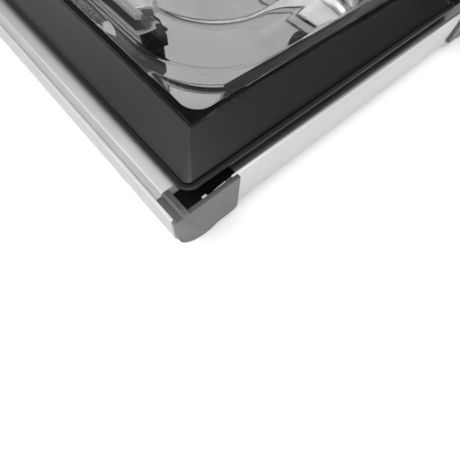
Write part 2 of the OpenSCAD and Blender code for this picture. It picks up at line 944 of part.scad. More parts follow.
module mains_inlet() {
    color([0.05, 0.05, 0.05]) {
        difference() {
            union() {
                inlet_block(-1.8, 0, 40, 24);
                inlet_block(-e, 22, 27.6, 20.6);
            }
            inlet_block(-5, 16, 24, 16);
        }
        // three pins, the middle one higher
        for (i = [-1 : 1])
            translate([0, i * 7, i == 0 ? 0 : -2]) inlet_block(4, 17, 2, 4);
    }
}

// ---------- fasteners ----------

module screw_head(r, h) {
    difference() {
        cylinder(r1 = r, r2 = r * 0.8, h = h);
        for (a = [0, 90])
            rotate(a) translate([0, 0, h]) cube([1.2 * r, 0.5, 1.2], center = true);
    }
}

module pan_screws() {
    color("silver") for (x = [-120, 0, 120], y = [-150, 156])
        translate([x, y, foot_h]) mirror([0, 0, 1]) screw_head(3.4, 1.6);
}

module housing_screws() {
    color("silver") for (x = [-172, -60, 60, 172])
        translate([x, house_back, 62]) rotate([-90, 0, 0]) screw_head(3, 1.6);
}

module hinge_screws() {
    color("silver") mirrored_x() for (z = [53.5, 59.5])
        translate([hinge_x, lid_back + arm_t, z]) rotate([-90, 0, 0]) screw_head(2.6, 1.2);
}

module ring_screws() {
    ring_x = lid_w / 2 - rim_s - 1.6;
    color("silver") mirrored_x() for (i = [-1 : 1])
        translate([ring_x, lid_y + i * 100, ring_bottom]) mirror([0, 0, 1]) screw_head(1.2, 0.8);
}

base_pan();
front_rail();
rear_rail();
right_panel();
left_panel();
cap_front_right();
cap_front_left();
cap_rear_right();
cap_rear_left();
deck();
tray();
foot_front_right();
foot_front_left();
foot_rear_right();
foot_rear_left();
rear_housing();
console_plate();
display_lens();
button_power();
button_vacuum();
button_seal();
button_stop();
indicator_leds();
control_board();
transformer();
motor();
motor_bracket();
motor_shaft();
pump_crankcase();
pump_rod();
pump_head();
vacuum_hose();
valve_body();
valve_plunger();
fan_frame();
fan_wheel();
mains_inlet();
suction_port();
guide_blocks();
lift_cylinders();
lift_posts();
seal_bar();
heating_strip();
sealing_tape();
bar_end_clamps();
lid_frame();
window();
clamp_ring();
lid_gasket();
press_holder();
press_strip();
hinge_arms();
hinge_brackets();
hinge_pins();
lid_magnet();
reed_switch();
pan_screws();
housing_screws();
hinge_screws();
ring_screws();
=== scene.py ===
# %% [markdown]
# # A slim tabletop vacuum sealer
# The model of every part is already made to size: the first lines load it as a
# fixed frame. This file gives each part its finish, replaces the plain shells by
# smoothly rounded ones, and adds the small repeated things.

# %% Load the frame
import json
import math

import bmesh
import bpy
from mathutils import Matrix, Vector


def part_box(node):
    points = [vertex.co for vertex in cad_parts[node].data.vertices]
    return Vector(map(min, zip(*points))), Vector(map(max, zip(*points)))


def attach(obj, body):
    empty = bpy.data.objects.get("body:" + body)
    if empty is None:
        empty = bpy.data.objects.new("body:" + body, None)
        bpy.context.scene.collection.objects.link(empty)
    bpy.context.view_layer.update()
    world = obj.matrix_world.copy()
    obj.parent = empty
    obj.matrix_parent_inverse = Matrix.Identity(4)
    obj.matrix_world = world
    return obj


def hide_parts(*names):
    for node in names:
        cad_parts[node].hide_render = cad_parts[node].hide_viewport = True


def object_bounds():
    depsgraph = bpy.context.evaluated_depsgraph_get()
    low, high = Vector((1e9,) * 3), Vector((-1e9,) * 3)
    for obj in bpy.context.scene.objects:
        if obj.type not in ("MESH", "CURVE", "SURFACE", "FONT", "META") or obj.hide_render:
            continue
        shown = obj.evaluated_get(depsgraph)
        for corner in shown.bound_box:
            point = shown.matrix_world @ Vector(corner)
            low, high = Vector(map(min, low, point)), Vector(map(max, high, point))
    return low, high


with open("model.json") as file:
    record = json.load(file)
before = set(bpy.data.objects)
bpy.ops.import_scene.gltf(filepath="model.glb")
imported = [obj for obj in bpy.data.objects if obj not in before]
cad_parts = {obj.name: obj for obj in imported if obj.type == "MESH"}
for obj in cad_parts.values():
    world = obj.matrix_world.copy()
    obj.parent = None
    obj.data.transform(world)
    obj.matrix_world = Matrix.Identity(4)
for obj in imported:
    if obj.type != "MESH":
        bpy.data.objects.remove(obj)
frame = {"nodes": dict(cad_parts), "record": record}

cad_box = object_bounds()
nodes = frame["nodes"]
MM = 0.001

# %% [markdown]
# ## Camera
# The view looks down on the front right corner from close by with a wide
# lens, so the edges run steeply together. The camera comes first because
# everything else is judged through it. Its axes are written as directions in
# the frame of the object: right, up, and back towards the eye.

# %% Camera
corner = Vector((cad_box[1][0], cad_box[0][1], cad_box[1][2]))
eye = corner + Vector((68.7, -28.2, 114.7)) * MM
camera_right = Vector((0.6757, 0.7330, 0.0791))
camera_up = Vector((-0.6784, 0.5762, 0.4559))
camera_back = camera_right.cross(camera_up)

camera_data = bpy.data.cameras.new("camera")
camera_data.lens = 25.0
camera_data.shift_x = -0.033
camera_data.shift_y = -0.044
camera_data.clip_start = 0.01
camera = bpy.data.objects.new("camera", camera_data)
camera.matrix_world = Matrix.Translation(eye) @ Matrix(
    (camera_right, camera_up, camera_back)).transposed().to_4x4()
bpy.context.scene.collection.objects.link(camera)
bpy.context.scene.camera = camera
print("camera at", [round(v, 4) for v in eye])

# %% [markdown]
# ## Helpers for materials
# A material is a small tree of nodes. One function adds a node, sets it up and
# links it, and one turns a hex colour as a designer writes it into the linear
# values that the shader works with.

# %% Colour and node helpers
def linear(hex_code, alpha=1.0):
    """sRGB hex such as '#808080' to linear RGBA."""
    values = [int(hex_code[i:i + 2], 16) / 255 for i in (1, 3, 5)]
    return [v / 12.92 if v <= 0.04045 else ((v + 0.055) / 1.055) ** 2.4 for v in values] + [alpha]


def add(tree, kind, inputs=None, **settings):
    """Adds one node. An input's value is a number, a colour or another node's output."""
    new = tree.nodes.new(kind)
    for name, value in settings.items():
        setattr(new, name, value)
    for key, value in (inputs or {}).items():
        if isinstance(value, bpy.types.NodeSocket):
            tree.links.new(value, new.inputs[key])
        else:
            new.inputs[key].default_value = value
    return new


def begin(name, colour, roughness, metallic=0.0, **sockets):
    """A new material with its Principled shader, and Object coordinates for patterns."""
    material = bpy.data.materials.new(name)
    material.use_nodes = True
    tree = material.node_tree
    shader = tree.nodes["Principled BSDF"]
    shader.inputs["Base Color"].default_value = linear(colour)
    shader.inputs["Roughness"].default_value = roughness
    shader.inputs["Metallic"].default_value = metallic
    for key, value in sockets.items():
        shader.inputs[key.replace("_", " ")].default_value = value
    place = add(tree, "ShaderNodeTexCoord").outputs["Object"]
    return material, tree, shader, place


def noise(tree, place, size_mm, stretch=(1, 1, 1), detail=2.0):
    """Noise whose blobs are about size_mm across; stretch lengthens them along an axis."""
    turn = add(tree, "ShaderNodeMapping", {"Vector": place, "Scale": [1 / s for s in stretch]})
    return add(tree, "ShaderNodeTexNoise", {
        "Vector": turn.outputs[0], "Scale": 1 / (size_mm * MM), "Detail": detail}).outputs["Fac"]


def spread(tree, value, low, high):
    """Maps the middle of a noise onto low..high."""
    return add(tree, "ShaderNodeMapRange", {
        "Value": value, "From Min": 0.3, "From Max": 0.7, "To Min": low, "To Max": high}).outputs["Result"]


def mix(tree, fac, first, second):
    """Colour mixed from two hex codes by a value."""
    return add(tree, "ShaderNodeMix", {"Factor": fac, 6: linear(first), 7: linear(second)},
               data_type="RGBA").outputs[2]


def bump(tree, shader, height, depth_mm, strength=1.0):
    """Relief from a height pattern, with its depth in millimetres."""
    relief = add(tree, "ShaderNodeBump", {
        "Height": height, "Distance": depth_mm * MM, "Strength": strength})
    tree.links.new(relief.outputs["Normal"], shader.inputs["Normal"])


def drive(tree, shader, socket, value):
    tree.links.new(value, shader.inputs[socket])

# %% [markdown]
# ## Metals
# Anodised aluminium has a fine, even satin skin with long faint die lines along
# the extrusion. Brushed steel has short scratches all one way. A deep drawn
# tray is polished, so only broad, shallow waves break its reflections.

# %% Metals
def extruded_aluminium(name="satin_anodised_aluminium", colour="#c2c2c4"):
    material, tree, shader, place = begin(name, colour, 0.58, 1.0)
    lines = noise(tree, place, 0.9, stretch=(260, 1, 1))
    cloud = noise(tree, place, 24)
    drive(tree, shader, "Base Color", mix(tree, spread(tree, cloud, 0.2, 0.8), "#bababc", "#c4c4c6"))
    drive(tree, shader, "Roughness", spread(tree, lines, 0.56, 0.64))
    bump(tree, shader, lines, 0.012)
    return material


def brushed_steel(name, colour, along, roughness=0.3):
    """Steel with scratches along one axis (0, 1 or 2)."""
    material, tree, shader, place = begin(name, colour, roughness, 1.0)
    stretch = [1, 1, 1]
    stretch[along] = 90
    scratches = noise(tree, place, 0.45, stretch=stretch, detail=3)
    drive(tree, shader, "Roughness", spread(tree, scratches, roughness - 0.05, roughness + 0.08))
    bump(tree, shader, scratches, 0.01)
    return material


def polished_steel():
    material, tree, shader, place = begin("polished_deep_drawn_steel", "#cdcccb", 0.07, 1.0)
    waves = noise(tree, place, 38, detail=1)
    haze = noise(tree, place, 9, detail=3)
    drive(tree, shader, "Roughness", spread(tree, haze, 0.04, 0.09))
    bump(tree, shader, waves, 0.05)
    return material


def plated_steel(name="zinc_plated_steel", colour="#b9babb"):
    material, tree, shader, place = begin(name, colour, 0.32, 1.0)
    grain = noise(tree, place, 3.5, detail=4)
    drive(tree, shader, "Roughness", spread(tree, grain, 0.24, 0.42))
    drive(tree, shader, "Base Color", mix(tree, spread(tree, grain, 0, 1), colour, "#a3a5a8"))
    return material


def cast_metal():
    material, tree, shader, place = begin("die_cast_aluminium", "#8f9193", 0.5, 1.0)
    skin = noise(tree, place, 1.2, detail=4)
    drive(tree, shader, "Roughness", spread(tree, skin, 0.42, 0.6))
    bump(tree, shader, skin, 0.05)
    return material

# %% [markdown]
# ## Plastics, rubber and glass cloth
# Moulded ABS carries the texture of its steel mould: a fine spark-eroded grain
# on the caps, almost none on the lid frame, which is why the frame shows soft
# reflections. Rubber is rougher and darker. The specular levels of the black
# parts are set below the usual 0.5. The tape over the seal bar is a
# woven glass cloth with a coat, so its weave shows.

# %% Plastics and soft materials
def moulded(name, colour, roughness, grain_mm, depth_mm, lighter=None, specular=0.5):
    """Moulded plastic or rubber with its mould grain; a lighter colour clouds the first."""
    material, tree, shader, place = begin(name, colour, roughness, 0.0, Specular_IOR_Level=specular)
    grain = noise(tree, place, grain_mm, detail=4)
    cloud = noise(tree, place, 30)
    if lighter:
        drive(tree, shader, "Base Color", mix(tree, spread(tree, cloud, 0, 1), colour, lighter))
    drive(tree, shader, "Roughness", spread(tree, grain, roughness - 0.05, roughness + 0.06))
    bump(tree, shader, grain, depth_mm)
    return material


def lid_plastic():
    """Semi-gloss black ABS: a faint orange peel from the mould under a smooth skin."""
    material, tree, shader, place = begin(
        "semi_gloss_black_abs", "#0e0e10", 0.3, 0.0, Specular_IOR_Level=0.4)
    peel = noise(tree, place, 1.6, detail=2)
    rub = noise(tree, place, 45, detail=3)
    drive(tree, shader, "Roughness", spread(tree, rub, 0.26, 0.36))
    bump(tree, shader, peel, 0.012)
    return material


def clear_acrylic():
    """Clear PMMA, index 1.49. The specular tint is lowered, which keeps the dark parts below dark."""
    material, tree, shader, place = begin("clear_acrylic", "#ffffff", 0.0, 0.0,
                                          IOR=1.49, Transmission_Weight=1.0,
                                          Specular_Tint=(0.12, 0.12, 0.12, 1))
    through = add(tree, "ShaderNodeBsdfTransparent", {"Color": linear("#f4f4f4")})
    path = add(tree, "ShaderNodeLightPath")
    both = add(tree, "ShaderNodeMixShader", {
        "Fac": path.outputs["Is Shadow Ray"], 1: shader.outputs[0], 2: through.outputs[0]})
    tree.links.new(both.outputs[0], tree.nodes["Material Output"].inputs["Surface"])
    return material


def woven_tape():
    material, tree, shader, place = begin("coated_glass_cloth", "#3c3a37", 0.42, 0.0)
    turn = add(tree, "ShaderNodeMapping", {"Vector": place})
    weave = [add(tree, "ShaderNodeTexWave", {"Vector": turn.outputs[0], "Scale": 1 / (3.1 * MM)},
                 bands_direction=axis).outputs["Fac"] for axis in ("X", "Y")]
    cross = add(tree, "ShaderNodeMath", {0: weave[0], 1: weave[1]}, operation="MULTIPLY").outputs[0]
    drive(tree, shader, "Base Color", mix(tree, cross, "#302f2d", "#484643"))
    bump(tree, shader, cross, 0.08)
    return material


def circuit_board():
    material, tree, shader, place = begin("solder_masked_board", "#1d5a33", 0.35, 0.0)
    tracks = add(tree, "ShaderNodeTexBrick", {
        "Vector": place, "Color1": linear("#1a5230"), "Color2": linear("#22673b"),
        "Mortar": linear("#3b8a55"), "Scale": 1 / (9 * MM), "Mortar Size": 0.04})
    drive(tree, shader, "Base Color", tracks.outputs["Color"])
    return material

# %% [markdown]
# Every slot of the record gets one of these finishes. The nodes take them now,
# and the pieces made below take them by the same slot name.

# %% One material for each slot
finish = {
    "steel_sheet": plated_steel("zinc_plated_sheet", "#b4b6b8"),
    "satin_aluminium": extruded_aluminium(),
    "panel_steel": brushed_steel("brushed_panel_steel", "#c4c4c6", along=1),
    "grey_plastic": moulded("spark_textured_grey_abs", "#4c4c4d", 0.42, 0.5, 0.02, "#535355"),
    "black_plastic": moulded("textured_black_abs", "#050505", 0.5, 0.6, 0.02, "#080808", specular=0.12),
    "frame_plastic": lid_plastic(),
    "gloss_black": moulded("gloss_black_pmma", "#070708", 0.09, 8, 0.002),
    "polished_steel": polished_steel(),
    "rubber": moulded("moulded_rubber", "#111112", 0.62, 0.8, 0.03, "#161617"),
    "gasket_rubber": moulded("extruded_epdm", "#030303", 0.75, 1.0, 0.015, specular=0.12),
    "silicone_strip": moulded("grey_silicone", "#2c2c2e", 0.5, 1.2, 0.02, "#333335"),
    "silicone_hose": moulded("milky_silicone", "#cfcdc6", 0.38, 6, 0.03, "#d8d6d0"),
    "button_metal": brushed_steel("spun_button_face", "#b7b8ba", along=0, roughness=0.26),
    "led_plastic": moulded("diffusing_lamp_plastic", "#cfe3ea", 0.3, 2, 0.004),
    "circuit_board": circuit_board(),
    "core_steel": plated_steel("varnished_laminations", "#6d6f73"),
    "zinc_steel": plated_steel("zinc_plated_can", "#aeb0b2"),
    "ground_steel": brushed_steel("ground_steel", "#bdbec0", along=0, roughness=0.22),
    "cast_aluminium": cast_metal(),
    "white_plastic": moulded("white_pom", "#d9d8d3", 0.4, 1.5, 0.01, "#e2e1dc"),
    "coil_plastic": moulded("blue_coil_moulding", "#22304f", 0.4, 1.2, 0.02, "#283858"),
    "heating_alloy": brushed_steel("resistance_strip", "#a08c6a", along=0, roughness=0.3),
    "sealing_tape": woven_tape(),
    "clear_acrylic": clear_acrylic(),
    "dark_zinc": plated_steel("black_zinc", "#2b2b2d"),
}
slot_of = {part["node"]: part["material_slot"] for part in frame["record"]["subparts"]}
body_of = {node: body for body, members in frame["record"]["behaviour"]["bodies"].items()
           for node in members}


def dress(piece, slot):
    """Gives a piece the finish of a slot."""
    piece.data.materials.clear()
    piece.data.materials.append(finish[slot])


for name, part in nodes.items():
    dress(part, slot_of[name])
print("finishes:", len(finish))

# %% [markdown]
# ## Softened edges
# A real moulding or extrusion has no knife edges, and it is the small radius
# along each edge that catches the light. Where a part's shape is right, its
# mesh is copied, its loose triangles are joined, flat areas are merged, and
# every sharp edge gets a small bevel. The copy then stands for the part.

# %% A softened copy of a part
def settle(piece):
    """Turns the modified object into a plain mesh."""
    graph = bpy.context.evaluated_depsgraph_get()
    final = bpy.data.meshes.new_from_object(piece.evaluated_get(graph))
    piece.modifiers.clear()
    piece.data = final


def stand_for(piece, *names):
    """The piece takes the finish, the body and the place of the first node."""
    dress(piece, slot_of[names[0]])
    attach(piece, body_of[names[0]])
    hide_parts(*names)


def softened(name, radius_mm, steps=2, angle=32):
    mesh = nodes[name].data.copy()
    shape = bmesh.new()
    shape.from_mesh(mesh)
    bmesh.ops.remove_doubles(shape, verts=shape.verts, dist=0.002 * MM)
    bmesh.ops.dissolve_limit(shape, angle_limit=math.radians(0.8), verts=shape.verts, edges=shape.edges)
    shape.to_mesh(mesh)
    shape.free()
    mesh.name = name + "_shape"
    piece = bpy.data.objects.new(name + "_soft", mesh)
    bpy.context.scene.collection.objects.link(piece)
    if radius_mm > 0:
        bevel = piece.modifiers.new("edges", "BEVEL")
        bevel.width = radius_mm * MM
        bevel.segments = steps
        bevel.limit_method = "ANGLE"
        bevel.angle_limit = math.radians(angle)
        bevel.use_clamp_overlap = True
        bevel.harden_normals = True
        settle(piece)
    piece.data.shade_smooth()
    piece.data.set_sharp_from_angle(angle=math.radians(angle))
    stand_for(piece, name)
    return piece


edge_radius = {
    "front_rail": 0.45, "rear_rail": 0.45, "right_panel": 0.3, "left_panel": 0.3,
    "cap_front_right": 0.5, "cap_front_left": 0.5, "cap_rear_right": 0.5, "cap_rear_left": 0.5,
    "deck": 0.3, "base_pan": 0.3, "guide_blocks": 0.8, "bar_end_clamps": 0.8,
    "seal_bar": 0.5, "press_holder": 0.5, "press_strip": 0.8,
    "hinge_arms": 0.5, "hinge_brackets": 0.5, "hinge_pins": 0.3,
    "mains_inlet": 0.6, "suction_port": 0.6, "transformer": 0.6, "pump_crankcase": 0.8,
    "pump_head": 0.8, "valve_body": 0.6, "motor": 1.0, "lift_cylinders": 0.6,
    "button_power": 0.6, "button_stop": 0.6, "button_vacuum": 0.6, "button_seal": 0.6,
    "console_plate": 0.25, "display_lens": 0.3, "rear_housing": 1.2,
    "clamp_ring": 0.3, "pump_rod": 0.2, "valve_plunger": 0.3, "fan_frame": 0.5, "fan_wheel": 0.2,
    "motor_bracket": 0.3, "motor_shaft": 0.3, "lift_posts": 0.3, "lid_magnet": 0.2,
    "reed_switch": 0.2, "control_board": 0.1, "indicator_leds": 0.2, "vacuum_hose": 0.0,
    "heating_strip": 0.0, "sealing_tape": 0.0,
}
for name, radius in edge_radius.items():
    softened(name, radius)
print("softened parts:", len(edge_radius))

# %% [markdown]
# ## Shells swept round a rounded rectangle
# The lid frame, the window with its dome, the tray and the gasket have one
# thing in common: the same cross-section runs all the way round a rounded
# rectangle. So one function places a ring of points for each point of the
# section, and joins each ring to the next. A ring has a width, a depth, a
# corner radius and a height, so the section may also change its corners.

# %% Swept shells
def ring(width, depth, radius, height, centre_y, corner_steps=14, side_steps=6):
    """Points in millimetres, counter-clockwise seen from above."""
    points = []
    for quarter, (sx, sy) in enumerate(((1, 1), (-1, 1), (-1, -1), (1, -1))):
        corner = Vector((sx * (width / 2 - radius), sy * (depth / 2 - radius)))
        for i in range(corner_steps + 1):
            a = math.radians(90 * quarter + 90 * i / corner_steps)
            points.append(Vector((corner.x + radius * math.cos(a), corner.y + radius * math.sin(a))))
    whole = []
    per = corner_steps + 1
    for quarter in range(4):
        whole += points[quarter * per:(quarter + 1) * per]
        start = points[(quarter + 1) * per - 1]
        end = points[(quarter + 1) * per % len(points)]
        whole += [start.lerp(end, i / side_steps) for i in range(1, side_steps)]
    return [Vector((p.x, p.y + centre_y, height)) * MM for p in whole]


def swept(name, rings):
    """A shell from rings, where the last ring meets the first."""
    mesh = bpy.data.meshes.new(name)
    shape = bmesh.new()
    loops = [[shape.verts.new(p) for p in one] for one in rings]
    for low, high in zip(loops, loops[1:] + loops[:1]):
        for i in range(len(low)):
            j = (i + 1) % len(low)
            shape.faces.new((low[i], low[j], high[j], high[i]))
    bmesh.ops.remove_doubles(shape, verts=shape.verts, dist=0.001 * MM)
    bmesh.ops.dissolve_degenerate(shape, edges=shape.edges, dist=0.001 * MM)
    bmesh.ops.recalc_face_normals(shape, faces=shape.faces)
    shape.to_mesh(mesh)
    shape.free()
    mesh.shade_smooth()
    mesh.set_sharp_from_angle(angle=math.radians(38))
    piece = bpy.data.objects.new(name, mesh)
    bpy.context.scene.collection.objects.link(piece)
    return piece


def arc(s0, z0, radius, start, end, steps=6):
    """Points of an arc in the section, by its centre and its angles in degrees."""
    return [(s0 + radius * math.cos(math.radians(start + (end - start) * i / steps)),
             z0 + radius * math.sin(math.radians(start + (end - start) * i / steps)))
            for i in range(steps + 1)]

# %% [markdown]
# ## Lid frame
# A flat lip, a groove, and a bevel that rises to a ridge with a mitre at each
# corner. Inside the ridge a ledge falls to the window. The corner radius goes
# from 8 mm at the lip to nothing at the ridge, which gives the soft mitre that
# sharpens towards the top.

# %% Lid frame
low, high = (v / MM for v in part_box("lid_frame"))
lid_w, lid_d = high.x - low.x, high.y - low.y
lid_y = (high.y + low.y) / 2
lid_bottom, ridge = low.z, high.z
lip = lid_bottom + 2.4
window_top = lid_bottom + 12.8


def lid_ring(s, z, radius):
    return ring(lid_w - 2 * s, lid_d - 2 * s, max(radius, 0.02), z, lid_y)


slope = (ridge - lip) / 19.0
section = [(0.4, lid_bottom, 7.6), (0.0, lid_bottom + 0.4, 8.0)]
section += [(s, z, 8 - s) for s, z in arc(0.8, lip - 0.8, 0.8, 180, 90, 5)]
section += [(2.3, lip, 5.7), (2.5, lip - 0.15, 5.5), (2.6, lip - 1.3, 5.4),
            (3.8, lip - 1.3, 4.6), (3.9, lip - 0.1, 4.4), (4.15, lip + 0.3, 4.2)]
bevel_insets = (7, 10, 13, 16, 19, 21.5, 22.4)
section += [(s, lip + (s - 4) * slope, max(4.2 - (s - 4) * 0.3, 0.2)) for s in bevel_insets]
section += [(22.8, ridge - 0.12, 0.1), (23.1, ridge - 0.02, 0.1), (23.5, ridge - 0.15, 0.1),
            (26.0, ridge - 1.4, 0.1), (26.4, ridge - 1.75, 0.1),
            (31.2, window_top - 0.3, 0.4), (31.6, window_top - 0.45, 0.4), (31.8, window_top - 0.5, 13.0),
            (32.0, window_top - 0.7, 13.2), (32.0, window_top - 2.0, 13.2),
            (18.0, window_top - 2.0, 3.0), (18.0, 56.3, 3.0), (13.0, 56.3, 3.0), (13.0, 52.4, 3.0),
            (8.0, 52.4, 3.0), (8.0, lid_bottom + 0.3, 3.0), (7.7, lid_bottom, 3.3)]
lid_frame = swept("lid_frame_shell", [lid_ring(s, z, r) for s, z, r in section])


def add_boxes(piece, boxes, bevel_mm):
    """Adds bevelled boxes to a piece's mesh, each (lowest corner, highest corner) in millimetres."""
    shape = bmesh.new()
    for low_corner, high_corner in boxes:
        made = bmesh.ops.create_cube(shape, size=1.0)["verts"]
        middle = (Vector(low_corner) + Vector(high_corner)) / 2
        size = Vector(high_corner) - Vector(low_corner)
        for v in made:
            v.co = Vector((middle[i] + v.co[i] * size[i]) * MM for i in range(3))
    bmesh.ops.bevel(shape, geom=shape.edges, offset=bevel_mm * MM, segments=2, affect="EDGES", profile=0.5)
    shape.from_mesh(piece.data)
    shape.to_mesh(piece.data)
    shape.free()
    piece.data.shade_smooth()
    piece.data.set_sharp_from_angle(angle=math.radians(38))


# two bosses at the back carry the hinge arms
hinge_x = 120
boss_half, boss_depth, boss_top = 9, 12, 63
lid_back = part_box("lid_frame")[1].y / MM
bosses = [((x - boss_half, lid_back - boss_depth, lid_bottom), (x + boss_half, lid_back, boss_top))
          for x in (-hinge_x, hinge_x)]
add_boxes(lid_frame, bosses, 0.6)
print("lid frame faces:", len(lid_frame.data.polygons))

# %% [markdown]
# A black rubber bead lies on the sloping seat between the ledge and the window.
# It hides the joint, and its dull black is painted shade: the dark band that
# shade lays on the ledge round the clear part.

# %% Bead round the window
stand_for(lid_frame, "lid_frame")
seat = [(26.5, ridge - 1.95, 0.1), (26.7, ridge - 1.7, 0.1), (31.1, window_top - 0.05, 0.4),
        (31.7, window_top - 0.1, 6.0), (32.0, window_top - 0.4, 12.9), (31.0, window_top - 0.5, 0.4)]
# painted shade: the bead's dull black stands for the shade on the ledge round the window
bead = swept("window_bead", [lid_ring(s, z, r) for s, z, r in seat])
dress(bead, "gasket_rubber")
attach(bead, "lid")

# %% [markdown]
# ## Window and dome
# One clear moulding: a clamped flange, a raised plate whose polished edge shows
# as a bright line, and a dome with a rounded brow. Both skins are modelled,
# because a wall with real thickness bends light twice and gives the double
# outlines that a dome has.

# %% Window
dome_s = 43.0
dome_r = 60.0
dome_top = window_top + 25.0
wall = 4.0


def dome_ring(s, z):
    return lid_ring(s, z, dome_r - (s - dome_s))


window_under = window_top - 3.95
outer = [lid_ring(28.0, window_under, 17), lid_ring(28.0, window_top - 2.1, 17),
         lid_ring(32.3, window_top - 2.1, 13), lid_ring(32.3, window_top - 0.5, 13),
         lid_ring(32.45, window_top - 0.15, 12.9), lid_ring(32.8, window_top, 12.6)]
outer += [lid_ring(36.0, window_top, 24.0), lid_ring(38.5, window_top, 44.0)]
outer += [dome_ring(s, z) for s, z in arc(40.6, window_top + 2.4, 2.4, -90, -10, 6)]
outer += [dome_ring(s, z) for s, z in arc(55.0, dome_top - 9.0, 9.0, 172, 90, 10)]
outer += [dome_ring(62.0, dome_top)]
inner = [dome_ring(62.0, dome_top - wall)]
inner += [dome_ring(s, z) for s, z in arc(55.6, dome_top - wall - 5.4, 5.4, 90, 172, 8)]
inner += [dome_ring(s, z) for s, z in arc(44.6, window_top - 1.8, 2.2, -10, -90, 5)]
inner += [lid_ring(38.5, window_under, 44.0), lid_ring(34.0, window_under, 18.0)]


def two_skins(name, outside, inside):
    """Outer and inner skins, capped in the middle and joined at the rim."""
    mesh = bpy.data.meshes.new(name)
    shape = bmesh.new()
    loops = [[shape.verts.new(p) for p in one] for one in outside + inside]
    for low_loop, high_loop in zip(loops, loops[1:] + loops[:1]):
        if low_loop is loops[len(outside) - 1]:
            shape.faces.new(low_loop)
            shape.faces.new(list(reversed(high_loop)))
            continue
        for i in range(len(low_loop)):
            j = (i + 1) % len(low_loop)
            shape.faces.new((low_loop[i], low_loop[j], high_loop[j], high_loop[i]))
    bmesh.ops.recalc_face_normals(shape, faces=shape.faces)
    shape.to_mesh(mesh)
    shape.free()
    mesh.shade_smooth()
    mesh.set_sharp_from_angle(angle=math.radians(40))
    piece = bpy.data.objects.new(name, mesh)
    bpy.context.scene.collection.objects.link(piece)
    return piece


window = two_skins("window_dome", outer, inner)
stand_for(window, "window")
print("window faces:", len(window.data.polygons))

# %% [markdown]
# ## Chamber tray
# Deep drawing leaves a rounded entry, a wall with a little draft and a wide
# radius where the wall meets the floor. The rim is flat, because the gasket
# seals on it.

# %% Tray
low, high = (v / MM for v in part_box("tray"))
rim_w, rim_d = high.x - low.x, high.y - low.y
rim_z = high.z
tray_y = (high.y + low.y) / 2
sheet = 1.2
mouth_w, mouth_d, mouth_r = 320.0, 214.0, 58.0
floor_z = low.z + sheet


def tray_ring(s, z):
    """Ring at an inset from the chamber's mouth."""
    return ring(mouth_w - 2 * s, mouth_d - 2 * s, mouth_r - s, z, tray_y, side_steps=10)


inside = [ring(rim_w, rim_d, 14, rim_z - sheet, tray_y, side_steps=10),
          ring(rim_w, rim_d, 14, rim_z - 0.3, tray_y, side_steps=10),
          ring(rim_w - 0.6, rim_d - 0.6, 13.7, rim_z, tray_y, side_steps=10)]
inside += [tray_ring(s, z) for s, z in arc(-3.0, rim_z - 3.0, 3.0, 90, 5, 6)]
inside += [tray_ring(s, z) for s, z in arc(12.6, floor_z + 12.0, 12.0, 178, 270, 12)]
inside += [tray_ring(45, floor_z + 0.02)]
outside = [tray_ring(45, floor_z - sheet + 0.02)]
outside += [tray_ring(s, z) for s, z in arc(12.6, floor_z + 12.0, 13.2, 270, 178, 12)]
outside += [tray_ring(s, z) for s, z in arc(-3.0, rim_z - 3.0, 1.8, 5, 90, 4)]
tray = two_skins("tray_shell", inside, outside)
stand_for(tray, "tray")
print("tray faces:", len(tray.data.polygons))

# %% [markdown]
# ## Gasket
# The gasket is a soft bulb on a flat root. The ring that clamps the window
# carries it in a channel.

# %% Gasket
low, high = (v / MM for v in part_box("lid_gasket"))
gasket_low, gasket_high = low.z, high.z
bulb = arc(26.0, gasket_low + 2.0, 2.0, -90, 40, 8)
bulb_back = arc(26.0, gasket_low + 2.0, 2.0, 140, 270, 8)
gasket_section = bulb + [(28.9, gasket_high - 1.6), (28.9, gasket_high), (23.1, gasket_high),
                         (23.1, gasket_high - 1.6)] + bulb_back[:-1]
gasket = swept("lid_gasket_bulb", [lid_ring(s, z, 36 - s) for s, z in gasket_section])
stand_for(gasket, "lid_gasket")

# %% [markdown]
# ## Repeated things
# Screws, transformer sheets, cooling slots and button rings are the same small
# shape many times over. A Geometry Nodes group takes the shape, a count and a step,
# and puts a copy at every place. The group is built once, then used with
# different inputs, and its result is stored as a plain mesh.

# %% Node group that repeats a shape
def link_group(name, sockets):
    """An empty group with the given inputs, and a dictionary of their identifiers."""
    group = bpy.data.node_groups.new(name, "GeometryNodeTree")
    group.interface.new_socket("Result", in_out="OUTPUT", socket_type="NodeSocketGeometry")
    keys = {}
    for label, kind in sockets:
        keys[label] = group.interface.new_socket(label, in_out="INPUT", socket_type=kind).identifier
    return group, keys


